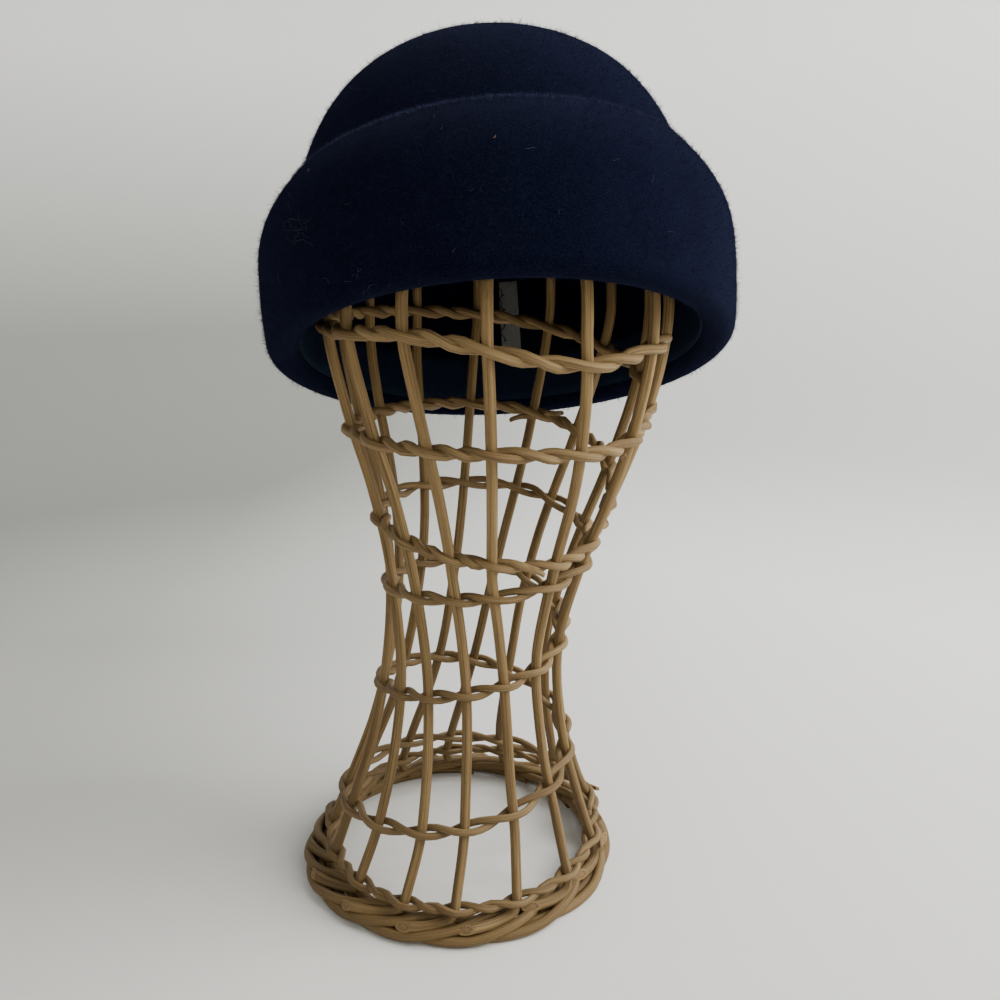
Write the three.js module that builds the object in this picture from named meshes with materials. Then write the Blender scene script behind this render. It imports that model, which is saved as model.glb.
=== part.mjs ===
import * as THREE from 'three';
import { mergeVertices } from 'three/addons/utils/BufferGeometryUtils.js';

// A felt sailor hat with a turned-up cuff, resting on an open wicker stand.
// Millimetres, +Z up, front towards -Y, origin on the floor under the middle.

// Felt sheet of the hat, measured at the middle of its thickness
const FELT_THICKNESS = 2.4;
const HEAD_HALF_WIDTH = 91.5;
const HEAD_HALF_LENGTH = 93.5;
const CROWN_HEIGHT = 136.4;
const CROWN_SPRING = 19;
const CROWN_FULLNESS = 2.96;
const ROLL_RADIUS = 5.9;
const CUFF_HEIGHT = 80.3;
const CUFF_BACK_RISE = 7.7;
const CUFF_BULGE = 14.3;
const CUFF_BULGE_SHARE = 0.51;
const CUFF_EDGE_GAP = 0.5;
const EDGE_ROUNDING = 0.8;

// How the hat sits: rim middle, then degrees
const HAT_PLACE = { x: 0.9, y: 4.3, z: 248 };
const HAT_LEAN = { back: 23.7, left: 3.2, turn: -9.8 };

// Ribbon and label inside the hat
const SEAT_GAP = 0.3;
const RIBBON = { thickness: 0.9, bottom: 4, top: 30 };
const LABEL = { thickness: 0.7, width: 11, bottom: 31, top: 71, aside: -11 };

// Wicker stand
const STAKE_RADIUS = 2.6;
const STAKE_CLEARANCE = 0.7;
const STAKE_FOOT_GAP = 0.3;
const STAKE_LEVEL_GAP = 15;
const TOP_RING = {
  radiusX: 20,
  radiusY: 20,
  middleX: -1,
  middleY: 10,
  height: 378.4,
  thickness: 3,
};
const BORDER = {
  radiusX: 70,
  radiusY: 74.5,
  middleX: -20,
  middleY: 1,
  height: 9.2,
  halfWidth: 6.5,
  footHalfWidth: 4.6,
  topHalfWidth: 3.3,
  sideBottom: 2.8,
  sideTop: 5.5,
};
const STRAND = { thickness: 3.2, halfHeight: 1.6 };
const BUNDLE = { halfWidth: 2.1, halfHeight: 2.8, halfTie: 1 };
const TURN_END_GAP = 0.35;

// Facets
const HAT_SIDES = 36;
const CROWN_STEPS = 10;
const ROLL_STEPS = 5;
const CUFF_STEPS = 6;
const SPACING_POWER = 1.5;
const LABEL_STEPS = 4;
const STAKE_SIDES = 6;
const STAKE_LONG_SPAN = 32;
const BORDER_SIDES = 36;
const RING_SIDES = 18;
const RING_WIRE_SIDES = 6;

// Stand outline: half sizes and middle of the stakes' oval at each height
const STAND_LEVELS = [
  { height: 13, halfWidth: 67.5, halfDepth: 71, middleX: -17.5, middleY: 0 },
  { height: 38, halfWidth: 57.5, halfDepth: 57.5, middleX: -18, middleY: -1 },
  { height: 73, halfWidth: 46.5, halfDepth: 46.5, middleX: -16, middleY: 0 },
  { height: 113, halfWidth: 41.5, halfDepth: 41.5, middleX: -12.5, middleY: 2 },
  { height: 153, halfWidth: 46.5, halfDepth: 46.5, middleX: -6.5, middleY: 3 },
  { height: 193, halfWidth: 58, halfDepth: 58, middleX: -2, middleY: 3 },
  { height: 228, halfWidth: 69, halfDepth: 69, middleX: -1, middleY: 3 },
  { height: 263, halfWidth: 75.5, halfDepth: 75.5, middleX: -1, middleY: 3 },
  { height: 293, halfWidth: 73.5, halfDepth: 73.5, middleX: -1, middleY: 5 },
  { height: 323, halfWidth: 63, halfDepth: 63, middleX: -1, middleY: 9 },
  { height: 353, halfWidth: 45, halfDepth: 45, middleX: -1, middleY: 10 },
  { height: 378, halfWidth: 24, halfDepth: 24, middleX: -1, middleY: 10 },
];

// Heights at which the stakes' angles below are given
const ANGLE_HEIGHTS = { foot: 13, ankle: 45, waist: 103, neck: 163, head: 263 };

// Stakes: degrees round the stand from the front, towards the right
const STAKES = [
  { foot: -2, ankle: 2, waist: -2, neck: -19, head: -29 },
  { foot: 22, ankle: 26, waist: 22, neck: 2, head: -3 },
  { foot: 47, ankle: 51, waist: 46, neck: 37, head: 27 },
  { foot: 71, ankle: 77, waist: 75, neck: 66, head: 58 },
  { foot: 103, ankle: 100, waist: 97, neck: 91, head: 84 },
  { foot: 133, ankle: 126, waist: 118, neck: 112, head: 109 },
  { foot: 164, ankle: 161, waist: 149, neck: 145, head: 132 },
  { foot: 192, ankle: 187, waist: 175, neck: 168, head: 159 },
  { foot: 215, ankle: 211, waist: 201, neck: 198, head: 188 },
  { foot: 243, ankle: 240, waist: 231, neck: 223, head: 213 },
  { foot: 271, ankle: 268, waist: 257, neck: 247, head: 236 },
  { foot: 293, ankle: 292, waist: 283, neck: 265, head: 255 },
  { foot: 315, ankle: 318, waist: 310, neck: 286, head: 279 },
  { foot: 338, ankle: 342, waist: 333, neck: 315, head: 306 },
];
const TURN_END_STAKES = { before: STAKES[3], after: STAKES[4] };

// Weave: height of each turn at five places round the stand, climbing on the right
const TURN_ANGLES = { rightBack: 120, back: 180, left: 270, front: 360, rightFront: 420 };
const TURNS = [
  { rightBack: 13, back: 13, left: 13, front: 13, rightFront: 17 },
  { rightBack: 26, back: 30, left: 35, front: 42, rightFront: 53 },
  { rightBack: 71, back: 83, left: 93, front: 103, rightFront: 112 },
  { rightBack: 126, back: 137, left: 143, front: 149, rightFront: 154 },
  { rightBack: 167, back: 177, left: 178, front: 166, rightFront: 165 },
  { rightBack: 199, back: 216, left: 218, front: 217, rightFront: 216 },
  { rightBack: 243, back: 261, left: 267, front: 259, rightFront: 253 },
];
const LAST_TURN_END = { reach: 60, rise: 6 };
const FULL_TURN = 360;
const CROSSING_TRIES = 20;

const FELT_LOOK = { color: 0x0e1428, roughness: 0.95, metalness: 0 };
const RIBBON_LOOK = { color: 0x0b1024, roughness: 0.7, metalness: 0 };
const LABEL_LOOK = { color: 0xb9bcc0, roughness: 0.85, metalness: 0 };
const CANE_LOOK = { color: 0xa8865a, roughness: 0.6, metalness: 0 };

const radians = THREE.MathUtils.degToRad;

// Smooth value of one column between the rows of a table sorted by another column
function smoothColumn(rows, alongKey, valueKey, along) {
  const last = rows.length - 1;
  const found = rows.findIndex((row) => row[alongKey] > along);
  const upper = found < 0 ? last : Math.max(found, 1);
  const lower = upper - 1;
  const slopeAt = (index) => {
    const before = rows[Math.max(index - 1, 0)];
    const after = rows[Math.min(index + 1, last)];
    return (after[valueKey] - before[valueKey]) / (after[alongKey] - before[alongKey]);
  };
  const span = rows[upper][alongKey] - rows[lower][alongKey];
  const share = (along - rows[lower][alongKey]) / span;
  const square = share * share;
  const cube = square * share;
  return rows[lower][valueKey] * (2 * cube - 3 * square + 1)
    + rows[upper][valueKey] * (3 * square - 2 * cube)
    + slopeAt(lower) * span * (cube - 2 * square + share)
    + slopeAt(upper) * span * (cube - square);
}

// Closed geometry from points and triangles, faces outward, no zero-size triangles
function closedGeometry(points, triangles) {
  const loose = new THREE.BufferGeometry();
  const coordinates = points.flatMap(({ x, y, z }) => [x, y, z]);
  loose.setAttribute('position', new THREE.Float32BufferAttribute(coordinates, 3));
  loose.setIndex(triangles.flat());
  const merged = mergeVertices(loose);
  const corners = merged.index.array;
  const pointAt = (k) => new THREE.Vector3().fromBufferAttribute(merged.attributes.position, k);
  const kept = [];
  let volume = 0;
  for (let i = 0; i < corners.length; i += 3) {
    const [a, b, c] = [corners[i], corners[i + 1], corners[i + 2]];
    if (a !== b && b !== c && c !== a) {
      volume += pointAt(a).dot(pointAt(b).cross(pointAt(c)));
      kept.push([a, b, c]);
    }
  }
  const outward = volume > 0 ? kept : kept.map(([a, b, c]) => [a, c, b]);
  merged.setIndex(outward.flat());
  return merged;
}

// Solid skinned over rings of equal size, closed into a loop or capped at both ends
function skinnedSolid(rings, isLoop) {
  const size = rings[0].length;
  const triangles = [];
  const spans = isLoop ? rings.length : rings.length - 1;
  for (let i = 0; i < spans; i += 1) {
    const here = i * size;
    const there = ((i + 1) % rings.length) * size;
    for (let j = 0; j < size; j += 1) {
      const next = (j + 1) % size;
      triangles.push([here + j, here + next, there + next]);
      triangles.push([here + j, there + next, there + j]);
    }
  }
  if (!isLoop) {
    const end = (rings.length - 1) * size;
    for (let j = 1; j < size - 1; j += 1) {
      triangles.push([0, j + 1, j]);
      triangles.push([end, end + j, end + j + 1]);
    }
  }
  return closedGeometry(rings.flat(), triangles);
}

function namedMesh(name, geometry, look) {
  geometry.computeVertexNormals();
  const mesh = new THREE.Mesh(geometry, new THREE.MeshStandardMaterial(look));
  mesh.name = name;
  return mesh;
}

// Point of the hat: a share of the head oval, plus a distance out, at an angle from the front
function hatPoint(share, out, up, angle) {
  const x = (HEAD_HALF_WIDTH * share + out) * Math.sin(angle);
  const y = -(HEAD_HALF_LENGTH * share + out) * Math.cos(angle);
  return new THREE.Vector3(x, y, up);
}

// Share of the head oval that the crown still has at a height
function crownShare(up) {
  const rise = Math.max(0, (up - CROWN_SPRING) / (CROWN_HEIGHT - CROWN_SPRING));
  return (1 - rise ** CROWN_FULLNESS) ** (1 / CROWN_FULLNESS);
}

// Share from 0 to 1 that starts and ends slowly, to space points evenly round a full curve
function easedShare(share) {
  const eased = (part) => (2 * part) ** SPACING_POWER / 2;
  return share < 1 / 2 ? eased(share) : 1 - eased(1 - share);
}

// Middle line of the felt at an angle: down the crown, round the roll, up the cuff
function feltLine(angle) {
  const line = [];
  for (let i = 0; i <= CROWN_STEPS; i += 1) {
    const turn = (Math.PI / 2) * easedShare(i / CROWN_STEPS);
    const share = Math.sin(turn) ** (2 / CROWN_FULLNESS);
    const rise = i < CROWN_STEPS ? Math.cos(turn) ** (2 / CROWN_FULLNESS) : 0;
    line.push({ share, out: 0, up: CROWN_SPRING + (CROWN_HEIGHT - CROWN_SPRING) * rise });
  }
  for (let i = 0; i <= ROLL_STEPS; i += 1) {
    const turn = Math.PI * (1 + i / ROLL_STEPS);
    const out = ROLL_RADIUS * (1 + Math.cos(turn));
    line.push({ share: 1, out, up: ROLL_RADIUS * (1 + Math.sin(turn)) });
  }
  const edgeUp = CUFF_HEIGHT - CUFF_BACK_RISE * Math.cos(angle);
  const meanRadius = (HEAD_HALF_WIDTH + HEAD_HALF_LENGTH) / 2;
  const edgeOut = (crownShare(edgeUp) - 1) * meanRadius + FELT_THICKNESS + CUFF_EDGE_GAP;
  for (let i = 1; i <= CUFF_STEPS; i += 1) {
    const share = i / CUFF_STEPS;
    const isBelow = share < CUFF_BULGE_SHARE;
    const endOut = isBelow ? 2 * ROLL_RADIUS : edgeOut;
    const reach = isBelow ? CUFF_BULGE_SHARE : 1 - CUFF_BULGE_SHARE;
    const away = (CUFF_BULGE - endOut) * ((share - CUFF_BULGE_SHARE) / reach) ** 2;
    const up = ROLL_RADIUS + (edgeUp - ROLL_RADIUS) * share;
    line.push({ share: 1, out: CUFF_BULGE - away, up });
  }
  return line;
}

// Closed section of the felt at an angle: both faces of the sheet and its rounded edge
function feltSection(angle) {
  const meanRadius = (HEAD_HALF_WIDTH + HEAD_HALF_LENGTH) / 2;
  const line = feltLine(angle);
  const last = line.length - 1;
  const tangentAt = (i) => {
    const before = line[Math.max(i - 1, 0)];
    const after = line[Math.min(i + 1, last)];
    const across = (after.share - before.share) * meanRadius + after.out - before.out;
    return new THREE.Vector2(across, i === 0 ? 0 : after.up - before.up).normalize();
  };
  const faceAt = (i, side) => {
    const tangent = tangentAt(i);
    const reach = (side * FELT_THICKNESS) / 2;
    const { share, out, up } = line[i];
    return hatPoint(share, out - tangent.y * reach, up + tangent.x * reach, angle);
  };
  const order = line.map((_, i) => i);
  const outer = order.map((i) => faceAt(i, 1));
  const inner = order.map((i) => faceAt(i, -1)).reverse();
  const edge = line[last];
  const lead = tangentAt(last).multiplyScalar(EDGE_ROUNDING);
  const edgePoint = hatPoint(1, edge.out + lead.x, edge.up + lead.y, angle);
  return [...outer, edgePoint, ...inner];
}

function feltBody() {
  const rings = [];
  for (let i = 0; i < HAT_SIDES; i += 1) {
    rings.push(feltSection((i / HAT_SIDES) * 2 * Math.PI));
  }
  return namedMesh('felt_body', skinnedSolid(rings, true), FELT_LOOK);
}

// Ribbon sewn inside the rim, a plain upright band
function sweatband() {
  const outer = -FELT_THICKNESS / 2 - SEAT_GAP;
  const inner = outer - RIBBON.thickness;
  const rings = [];
  for (let i = 0; i < HAT_SIDES; i += 1) {
    const angle = (i / HAT_SIDES) * 2 * Math.PI;
    rings.push([
      hatPoint(1, outer, RIBBON.bottom, angle),
      hatPoint(1, outer, RIBBON.top, angle),
      hatPoint(1, inner, RIBBON.top, angle),
      hatPoint(1, inner, RIBBON.bottom, angle),
    ]);
  }
  return namedMesh('sweatband', skinnedSolid(rings, true), RIBBON_LOOK);
}

// Bare label that lies up the inside of the back, above the ribbon
function label() {
  const outer = -FELT_THICKNESS / 2 - SEAT_GAP * 2;
  const inner = outer - LABEL.thickness;
  const middle = Math.PI - LABEL.aside / HEAD_HALF_LENGTH;
  const half = LABEL.width / 2 / HEAD_HALF_LENGTH;
  const rings = [];
  for (let i = 0; i <= LABEL_STEPS; i += 1) {
    const up = LABEL.bottom + ((LABEL.top - LABEL.bottom) * i) / LABEL_STEPS;
    const share = crownShare(up);
    rings.push([
      hatPoint(share, outer, up, middle - half),
      hatPoint(share, outer, up, middle + half),
      hatPoint(share, inner, up, middle + half),
      hatPoint(share, inner, up, middle - half),
    ]);
  }
  return namedMesh('label', skinnedSolid(rings, false), LABEL_LOOK);
}

function hat() {
  const group = new THREE.Group();
  group.add(feltBody(), sweatband(), label());
  const { back, left, turn } = HAT_LEAN;
  group.rotation.set(radians(-back), radians(-left), radians(turn), 'YXZ');
  group.position.set(HAT_PLACE.x, HAT_PLACE.y, HAT_PLACE.z);
  return group;
}

// Point on the stakes' oval at a height and an angle from the front, with its outward direction
function standPoint(height, degrees) {
  const level = (column) => smoothColumn(STAND_LEVELS, 'height', column, height);
  const outward = new THREE.Vector3(Math.sin(radians(degrees)), -Math.cos(radians(degrees)), 0);
  const x = level('middleX') + level('halfWidth') * outward.x;
  const y = level('middleY') + level('halfDepth') * outward.y;
  return { place: new THREE.Vector3(x, y, height), outward };
}

// Angle of a stake at a height
function stakeAngle(stake, height) {
  const places = Object.keys(ANGLE_HEIGHTS);
  const rows = places.map((key) => ({ height: ANGLE_HEIGHTS[key], angle: stake[key] }));
  return smoothColumn(rows, 'height', 'angle', Math.min(height, ANGLE_HEIGHTS.head));
}

// Height of the weave's spiral at an angle that keeps growing from turn to turn
function spiralRows() {
  const places = Object.keys(TURN_ANGLES);
  const rows = TURNS.flatMap((turn, i) => places.map((key) => ({
    angle: FULL_TURN * i + TURN_ANGLES[key],
    height: turn[key],
  })));
  const { angle, height } = rows[rows.length - 1];
  const { reach, rise } = LAST_TURN_END;
  rows.push({ angle: angle + reach, height: height + rise });
  return rows;
}
const SPIRAL = spiralRows();

function spiralHeight(angle) {
  return smoothColumn(SPIRAL, 'angle', 'height', Math.max(angle, SPIRAL[0].angle));
}

// Angle at which the spiral crosses a stake, near a first guess
function crossingAngle(angleOfHeight, turnStart) {
  let angle = turnStart;
  for (let i = 0; i < CROSSING_TRIES; i += 1) {
    angle = turnStart + angleOfHeight(spiralHeight(angle));
  }
  return angle;
}

// Place between two stakes where one turn ends and the next begins
function turnEnd(index) {
  const { before, after } = TURN_END_STAKES;
  const halfWay = (height) => (stakeAngle(before, height) + stakeAngle(after, height)) / 2;
  return crossingAngle(halfWay, FULL_TURN * index);
}

// Stakes that a turn crosses, in the order in which it meets them
function turnCrossings(index) {
  const laps = [index, index + 1];
  return STAKES
    .flatMap((stake) => laps.map((lap) => {
      const angle = crossingAngle((height) => stakeAngle(stake, height), FULL_TURN * lap);
      return { stake, angle, height: spiralHeight(angle) };
    }))
    .filter(({ angle }) => angle > turnEnd(index) && angle < turnEnd(index + 1))
    .sort((a, b) => a.angle - b.angle);
}
const CROSSINGS = TURNS.map((_, index) => turnCrossings(index));

// Heights at which a stake bends: its crossings, the levels above them, and half-way in long spans
function stakeHeights(stake) {
  const own = CROSSINGS.flat().filter((crossing) => crossing.stake === stake);
  const crossed = own.map(({ height }) => height);
  const weaveTop = Math.max(...crossed) + STAKE_LEVEL_GAP;
  const above = STAND_LEVELS.map(({ height }) => height).filter((height) => height > weaveTop);
  const marks = [BORDER.height + STAKE_FOOT_GAP, ...crossed, ...above];
  return marks.flatMap((height, i) => {
    const next = marks[i + 1] ?? height;
    return next - height > STAKE_LONG_SPAN ? [height, (height + next) / 2] : [height];
  });
}

// Direction of a stake at a height
function stakeDirection(stake, height) {
  const at = (level) => standPoint(level, stakeAngle(stake, level)).place;
  return at(height + 1).sub(at(height - 1)).normalize();
}

// Round cane along a stake, from the border, where its end is cut level, to the top ring
function stakeSolid(stake) {
  const points = stakeHeights(stake).map((height) => standPoint(height, stakeAngle(stake, height)));
  const rings = points.map(({ place, outward }, i) => {
    const before = points[Math.max(i - 1, 0)].place;
    const after = points[Math.min(i + 1, points.length - 1)].place;
    const along = i > 0 ? after.clone().sub(before).normalize() : new THREE.Vector3(0, 0, 1);
    const side = along.clone().cross(outward).normalize();
    const face = side.clone().cross(along);
    return Array.from({ length: STAKE_SIDES }, (_, k) => {
      const turn = (k / STAKE_SIDES) * 2 * Math.PI;
      const aside = side.clone().multiplyScalar(STAKE_RADIUS * Math.cos(turn));
      const out = face.clone().multiplyScalar(STAKE_RADIUS * Math.sin(turn));
      return place.clone().add(aside).add(out);
    });
  });
  return skinnedSolid(rings, false);
}

// Frame of the weave at an angle: place, outward, and upward across the strands
function weaveFrame(angle) {
  const at = (degrees) => standPoint(spiralHeight(degrees), degrees);
  const { place, outward } = at(angle);
  const along = at(angle + 1).place.sub(at(angle - 1).place).normalize();
  return { place, outward, up: outward.clone().cross(along).normalize() };
}

function offsetCorner({ place, outward, up }, out, rise) {
  return place.clone().addScaledVector(outward, out).addScaledVector(up, rise);
}

// Corners of the bundle where its two strands lie together
function joinedCorners(angle) {
  const frame = weaveFrame(angle);
  const { halfWidth, halfHeight } = BUNDLE;
  const top = [halfWidth, 0, -halfWidth].map((out) => offsetCorner(frame, out, halfHeight));
  const bottom = [-halfWidth, 0, halfWidth].map((out) => offsetCorner(frame, out, -halfHeight));
  return [...top, ...bottom];
}

// Corners of one strand beside a stake: outside it for side 1, inside it for side -1
function partedCorners(angle, stake, reach, side) {
  const frame = weaveFrame(angle);
  frame.up = stakeDirection(stake, frame.place.z);
  const near = side > 0 ? reach : -reach - STRAND.thickness;
  const far = near + STRAND.thickness;
  const corners = [[far, 1], [near, 1], [near, -1], [far, -1]];
  return corners.map(([out, rise]) => offsetCorner(frame, out, rise * STRAND.halfHeight));
}

// Distance from a stake's middle at which a strand passes it, with room to part and meet again
function strandReach(room) {
  const clear = STAKE_RADIUS + STAKE_CLEARANCE;
  return clear / Math.sqrt(1 - (clear / room) ** 2);
}

// One turn of the twined weavers as a bundle that parts round each stake
function weaveTurn(index) {
  const start = turnEnd(index);
  const end = turnEnd(index + 1);
  const crossings = CROSSINGS[index];
  const degreesOf = (length, angle) => {
    const radius = smoothColumn(STAND_LEVELS, 'height', 'halfWidth', spiralHeight(angle));
    return THREE.MathUtils.radToDeg(length / radius);
  };
  const points = [];
  const triangles = [];
  const addSpan = (from, to) => {
    const first = points.length;
    const size = from.length;
    points.push(...from, ...to);
    for (let j = 0; j < size; j += 1) {
      const next = (j + 1) % size;
      triangles.push([first + j, first + next, first + size + next]);
      triangles.push([first + j, first + size + next, first + size + j]);
    }
  };
  const addCap = (corners, flip) => {
    const first = points.length;
    points.push(...corners);
    for (let j = 1; j < corners.length - 1; j += 1) {
      triangles.push(flip ? [first, first + j + 1, first + j] : [first, first + j, first + j + 1]);
    }
  };
  const firstCorners = joinedCorners(start + degreesOf(TURN_END_GAP / 2, start));
  const lastCorners = joinedCorners(end - degreesOf(TURN_END_GAP / 2, end));
  addCap(firstCorners, true);
  addCap(lastCorners, false);
  let joined = firstCorners;
  crossings.forEach(({ stake, angle }, i) => {
    const before = i > 0 ? (crossings[i - 1].angle + angle) / 2 : start;
    const after = i < crossings.length - 1 ? (crossings[i + 1].angle + angle) / 2 : end;
    const tie = degreesOf(BUNDLE.halfTie, angle);
    const parting = joinedCorners(before + tie);
    const meeting = joinedCorners(after - tie);
    const room = (Math.min(angle - before, after - angle) - tie) / degreesOf(1, angle);
    const reach = strandReach(room);
    const [outerTop, midTop, innerTop, innerBottom, midBottom, outerBottom] = [0, 1, 2, 3, 4, 5];
    const pick = (corners, order) => order.map((k) => corners[k]);
    const outerOrder = [outerTop, midTop, midBottom, outerBottom];
    const innerOrder = [midTop, innerTop, innerBottom, midBottom];
    const outside = partedCorners(angle, stake, reach, 1);
    const inside = partedCorners(angle, stake, reach, -1);
    addSpan(joined, parting);
    addSpan(pick(parting, outerOrder), outside);
    addSpan(outside, pick(meeting, outerOrder));
    addSpan(pick(parting, innerOrder), inside);
    addSpan(inside, pick(meeting, innerOrder));
    joined = meeting;
  });
  addSpan(joined, lastCorners);
  return namedMesh(`weave_turn_${index + 1}`, closedGeometry(points, triangles), CANE_LOOK);
}

// Level ring with a closed section of distance out and height
function levelRing({ middleX, middleY, radiusX, radiusY }, section, sides) {
  const rings = [];
  for (let i = 0; i < sides; i += 1) {
    const angle = (i / sides) * 2 * Math.PI;
    rings.push(section.map(({ out, up }) => new THREE.Vector3(
      middleX + (radiusX + out) * Math.sin(angle),
      middleY - (radiusY + out) * Math.cos(angle),
      up,
    )));
  }
  return skinnedSolid(rings, true);
}

// Rolled border of the foot, flat underneath
function footBorder() {
  const outerHalf = [
    { out: BORDER.footHalfWidth, up: 0 },
    { out: BORDER.halfWidth, up: BORDER.sideBottom },
    { out: BORDER.halfWidth, up: BORDER.sideTop },
    { out: BORDER.topHalfWidth, up: BORDER.height },
  ];
  const innerHalf = outerHalf.map(({ out, up }) => ({ out: -out, up })).reverse();
  const section = [...outerHalf, ...innerHalf];
  return namedMesh('foot_border', levelRing(BORDER, section, BORDER_SIDES), CANE_LOOK);
}

// Ring under the crown that the stakes meet
function topRing() {
  const section = Array.from({ length: RING_WIRE_SIDES }, (_, k) => {
    const turn = ((2 * k + 1) / RING_WIRE_SIDES) * Math.PI;
    return {
      out: TOP_RING.thickness * Math.cos(turn),
      up: TOP_RING.height + TOP_RING.thickness * Math.sin(turn),
    };
  });
  return namedMesh('top_ring', levelRing(TOP_RING, section, RING_SIDES), CANE_LOOK);
}

function stand() {
  const group = new THREE.Group();
  STAKES.forEach((stake, i) => {
    const number = String(i + 1).padStart(2, '0');
    group.add(namedMesh(`stake_${number}`, stakeSolid(stake), CANE_LOOK));
  });
  TURNS.forEach((_, i) => group.add(weaveTurn(i)));
  group.add(footBorder(), topRing());
  return group;
}

const sailorHatOnStand = new THREE.Group();
sailorHatOnStand.add(hat(), stand());

// The outline is centred on the origin, and the foot stands on the floor
const outline = new THREE.Box3().setFromObject(sailorHatOnStand, true);
const middle = outline.getCenter(new THREE.Vector3());
sailorHatOnStand.position.set(-middle.x, -middle.y, -outline.min.z);

export default sailorHatOnStand;
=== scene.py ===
import bisect
import functools
import itertools
import math
from math import cos, pi, radians, sin
from types import SimpleNamespace as Sizes

import bmesh
import bpy
import numpy as np
from mathutils import Matrix, Vector, noise
from mathutils.bvhtree import BVHTree


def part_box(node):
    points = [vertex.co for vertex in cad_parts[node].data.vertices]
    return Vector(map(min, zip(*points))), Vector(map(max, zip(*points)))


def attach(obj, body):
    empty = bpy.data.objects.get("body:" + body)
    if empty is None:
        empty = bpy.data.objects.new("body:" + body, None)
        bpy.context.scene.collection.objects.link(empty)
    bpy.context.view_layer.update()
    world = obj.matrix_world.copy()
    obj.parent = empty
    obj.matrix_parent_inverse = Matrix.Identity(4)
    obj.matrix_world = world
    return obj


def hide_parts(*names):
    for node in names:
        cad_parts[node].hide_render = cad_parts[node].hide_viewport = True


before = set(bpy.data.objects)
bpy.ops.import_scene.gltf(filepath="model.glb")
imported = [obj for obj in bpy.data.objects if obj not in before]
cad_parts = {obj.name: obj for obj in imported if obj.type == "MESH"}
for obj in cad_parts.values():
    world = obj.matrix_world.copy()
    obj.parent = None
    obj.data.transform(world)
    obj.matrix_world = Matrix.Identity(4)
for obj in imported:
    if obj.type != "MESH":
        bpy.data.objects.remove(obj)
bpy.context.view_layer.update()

# A felt sailor hat with a turned-up cuff on an open wicker stand.
# Lengths in the tables are millimetres, and the finished pieces are in metres.
MM = 0.001
FULL_TURN = 360

# Hat felt, measured at the middle of the sheet
FELT_THICKNESS = 2.4
HEAD_HALF_WIDTH = 91.5
HEAD_HALF_LENGTH = 93.5
CROWN_HEIGHT = 136.4
CROWN_SPRING = 19
CROWN_FULLNESS = 2.96
ROLL_RADIUS = 5.9
CUFF_HEIGHT = 79.5
CUFF_BACK_RISE = 7.7
CUFF_BULGE = 14.3
CUFF_BULGE_SHARE = 0.51
CUFF_EDGE_GAP = 0.5
CUFF_LIP = Sizes(out=0.3, width=4.5)
CUFF_DIP = Sizes(degrees=-42, size=3.6, width=38)
HAT_PLACE = Vector((0.9, 4.3, 248))
HAT_LEAN = Sizes(back=23.7, left=3.2, turn=-9.8)
RIBBON = Sizes(
    gap=0.2, thickness=0.7, bottom=5, top=30, rows=6,
    ribs=560, rib_depth=0.16, steps_per_rib=4, wave=0.5, waves=4,
)
LABEL = Sizes(
    gap=0.6, thickness=0.7, cloth=0.42, width=11, bottom=31, top=71, aside=-11, columns=12, rows=40,
)

# Canes of the stand
STAKE_RADIUS = 2.5
BORDER_CANE_RADIUS = 2.3
BORDER = Sizes(radius_x=70, radius_y=74.5, middle_x=-20, middle_y=1)
# Bulge of the border at the left front, which its inner canes follow by a share
BORDER_BULGE = Sizes(degrees=-72, size=3.2, width=32, inner_share=0.3125)
TOP_RING = Sizes(
    radius_x=20, radius_y=20, middle_x=-1, middle_y=10, height=378.4, cane_radius=3, steps=48,
)

# Stand outline: height, half width, half depth, middle x, middle y
STAND_LEVELS = (
    (13, 67.5, 71, -17.5, 0),
    (38, 57.5, 57.5, -18, -1),
    (73, 46.5, 46.5, -16, 0),
    (113, 41.5, 41.5, -12.5, 2),
    (153, 46.5, 46.5, -6.5, 3),
    (193, 58, 58, -2, 3),
    (228, 69, 69, -1, 3),
    (263, 75.5, 75.5, -1, 3),
    (293, 73.5, 73.5, -1, 5),
    (323, 63, 63, -1, 9),
    (353, 45, 45, -1, 10),
    (378, 24, 24, -1, 10),
)

# Stakes: degrees from the front, towards the right, at these heights
ANGLE_HEIGHTS = (13, 45, 103, 163, 263)
STAKES = (
    (-2, 2, -2, -19, -29),
    (22, 26, 22, 2, -3),
    (47, 51, 46, 37, 27),
    (71, 77, 75, 66, 58),
    (103, 100, 97, 91, 84),
    (133, 126, 118, 112, 109),
    (164, 161, 149, 145, 132),
    (192, 187, 175, 168, 159),
    (215, 211, 201, 198, 188),
    (243, 240, 231, 223, 213),
    (271, 268, 257, 247, 236),
    (293, 292, 283, 265, 255),
    (315, 318, 310, 286, 279),
    (338, 342, 333, 315, 306),
)
LAST_STAKE_BEFORE_TURN = 3

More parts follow.
